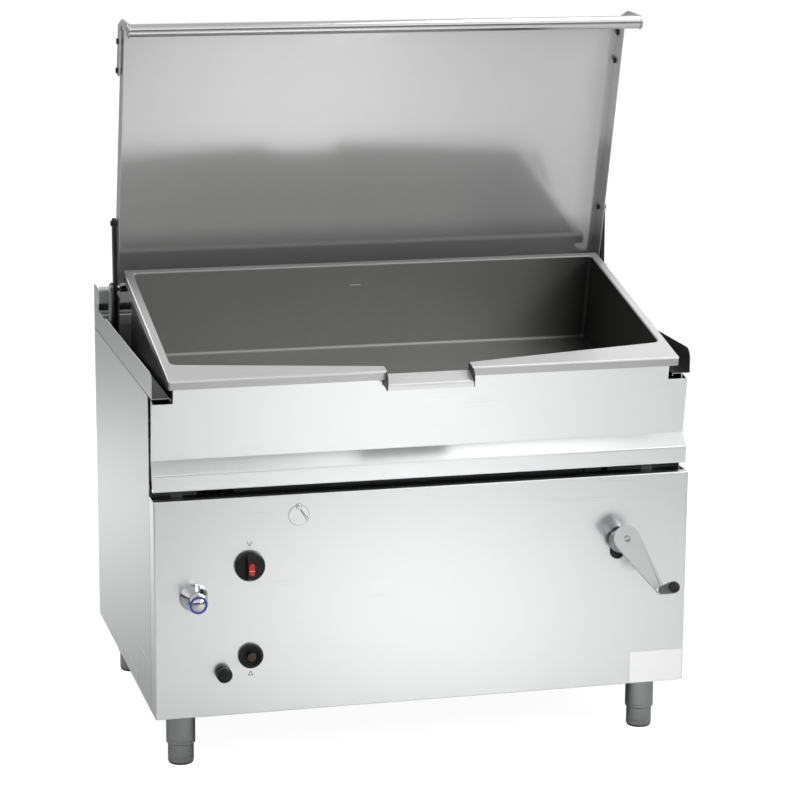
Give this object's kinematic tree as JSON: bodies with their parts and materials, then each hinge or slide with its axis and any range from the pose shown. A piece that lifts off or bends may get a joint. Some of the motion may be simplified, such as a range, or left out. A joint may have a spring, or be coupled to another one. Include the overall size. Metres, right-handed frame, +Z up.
{
  "type": "tilting bratt pan",
  "caption": "Gas-heated tilting bratt pan on four feet, with a hinged lid, a spout and a hand crank that tilts the well forward over the front panel.",
  "frame": {"origin": "on the floor, midway between the four feet's axes", "axes": "+X to the operator's right along the front, +Y to the back, +Z up"},
  "size_m": [1.2008, 1.0354, 1.5955],
  "materials": {
    "stainless_sheet": "fine grain, satin",
    "side_sheet": "fine grain, satin",
    "lid_sheet": "fine grain, bright inner face",
    "pan_steel": "ground, dull",
    "foot_steel": "turned",
    "bright_steel": "polished",
    "chrome_part": "mirror bright",
    "inner_steel": "galvanised, dull",
    "dark_steel": "blackened",
    "brass_part": "machined",
    "black_plastic": "satin",
    "red_mark": "gloss",
    "blue_ring": "gloss",
    "rubber_pad": "dull",
    "bare_plate": "satin, left bare"
  },
  "bodies": {
    "cabinet": {"cabinet_frame": "inner_steel", "front_panel": "stainless_sheet", "left_side_panel": "side_sheet", "right_side_panel": "side_sheet", "access_cover": "side_sheet", "blank_plates": "bare_plate", "rear_panel": "side_sheet", "bottom_panel": "side_sheet", "side_rails": "stainless_sheet", "rear_deck": "stainless_sheet", "flue_body": "stainless_sheet", "flue_cap": "stainless_sheet", "pivot_brackets": "bright_steel", "pivot_pins": "bright_steel", "foot_sleeves": "foot_steel", "gas_valve": "brass_part", "gas_pipe": "brass_part", "gas_manifold": "brass_part", "burner_tubes": "dark_steel", "burner_tray": "inner_steel", "water_pipe": "brass_part", "tap_escutcheon": "chrome_part", "tap_body": "chrome_part", "control_bezels": "black_plastic", "disc_screw": "bright_steel", "screw_cradle": "inner_steel"},
    "pan": {"pan_well": "pan_steel", "pan_apron": "stainless_sheet", "pan_subframe": "inner_steel", "pivot_bushes": "brass_part", "hinge_washers": "black_plastic"},
    "lid": {"lid_tray": "lid_sheet", "lid_handle": "bright_steel", "lid_brackets": "bright_steel", "lid_arms": "dark_steel", "lid_fasteners": "dark_steel", "lid_hinge_pins": "chrome_part"},
    "nut": {"screw_nut": "brass_part"},
    "link": {"push_link": "inner_steel", "link_pin": "bright_steel"},
    "crank": {"tilt_screw": "bright_steel", "crank_hub": "bright_steel", "crank_arm": "bright_steel", "grip_pin": "bright_steel"},
    "crank_grip": {"crank_grip": "black_plastic"},
    "gas_knob": {"gas_knob": "black_plastic", "knob_mark": "red_mark"},
    "ring_button": {"ring_button": "dark_steel"},
    "igniter_button": {"igniter_button": "black_plastic"},
    "tap_handle": {"tap_knob": "chrome_part", "tap_ring": "blue_ring"},
    "inspection_disc": {"inspection_disc": "stainless_sheet"},
    "foot_front_left": {"foot_stem_front_left": "foot_steel", "foot_pad_front_left": "rubber_pad"},
    "foot_front_right": {"foot_stem_front_right": "foot_steel", "foot_pad_front_right": "rubber_pad"},
    "foot_rear_left": {"foot_stem_rear_left": "foot_steel", "foot_pad_rear_left": "rubber_pad"},
    "foot_rear_right": {"foot_stem_rear_right": "foot_steel", "foot_pad_rear_right": "rubber_pad"}
  },
  "joints": [
    {"name": "pan_tilt", "type": "hinge", "parent": "cabinet", "child": "pan", "pos_m": [0, -0.3645, 0.665], "axis": [1, 0, 0], "range_deg": [-13, 67]},
    {"name": "lid_open", "type": "hinge", "parent": "pan", "child": "lid", "pos_m": [0, 0.15797, 0.97138], "axis": [-1, 0, 0], "range_deg": [-88.3, 0]},
    {"name": "nut_travel", "type": "slide", "parent": "cabinet", "child": "nut", "axis": [0, 0.9336, -0.3584], "range_m": [-0.145, 0.03]},
    {"name": "link_swing", "type": "hinge", "parent": "nut", "child": "link", "pos_m": [0.4386, -0.12927, 0.3489], "axis": [1, 0, 0], "range_deg": [-20, 5]},
    {"name": "crank_turn", "type": "hinge", "parent": "cabinet", "child": "crank", "pos_m": [0.4386, -0.4265, 0.463], "axis": [0, 0.9336, -0.3584], "range_deg": [-830, 4200]},
    {"name": "grip_spin", "type": "hinge", "parent": "crank", "child": "crank_grip", "pos_m": [0.50578, -0.57559, 0.39356], "axis": [0, 0.9336, -0.3584], "continuous": true},
    {"name": "gas_knob_turn", "type": "hinge", "parent": "cabinet", "child": "gas_knob", "pos_m": [-0.3934, -0.4265, 0.4633], "axis": [0, -1, 0], "range_deg": [0, 180]},
    {"name": "ring_press", "type": "slide", "parent": "cabinet", "child": "ring_button", "axis": [0, 1, 0], "range_m": [0, 0.006], "stiffness_N_per_m": 300, "springref_m": -0.01},
    {"name": "igniter_press", "type": "slide", "parent": "cabinet", "child": "igniter_button", "axis": [0, 1, 0], "range_m": [0, 0.005], "stiffness_N_per_m": 300, "springref_m": -0.01},
    {"name": "tap_turn", "type": "hinge", "parent": "cabinet", "child": "tap_handle", "pos_m": [-0.516, -0.4265, 0.401], "axis": [0, -1, 0], "range_deg": [0, 720]},
    {"name": "disc_swing", "type": "hinge", "parent": "cabinet", "child": "inspection_disc", "pos_m": [-0.285, -0.4265, 0.5875], "axis": [0, -1, 0], "range_deg": [-170, 170]},
    {"name": "foot_front_left_extend", "type": "slide", "parent": "cabinet", "child": "foot_front_left", "axis": [0, 0, -1], "range_m": [0, 0.03]},
    {"name": "foot_front_right_extend", "type": "slide", "parent": "cabinet", "child": "foot_front_right", "axis": [0, 0, -1], "range_m": [0, 0.03]},
    {"name": "foot_rear_left_extend", "type": "slide", "parent": "cabinet", "child": "foot_rear_left", "axis": [0, 0, -1], "range_m": [0, 0.03]},
    {"name": "foot_rear_right_extend", "type": "slide", "parent": "cabinet", "child": "foot_rear_right", "axis": [0, 0, -1], "range_m": [0, 0.03]}
  ],
  "couplings": [
    {"joint": "nut_travel", "follows": "pan_tilt", "m_per_rad": -0.11886},
    {"joint": "link_swing", "follows": "pan_tilt", "ratio": -0.26417},
    {"joint": "crank_turn", "follows": "pan_tilt", "ratio": 62.234}
  ]
}
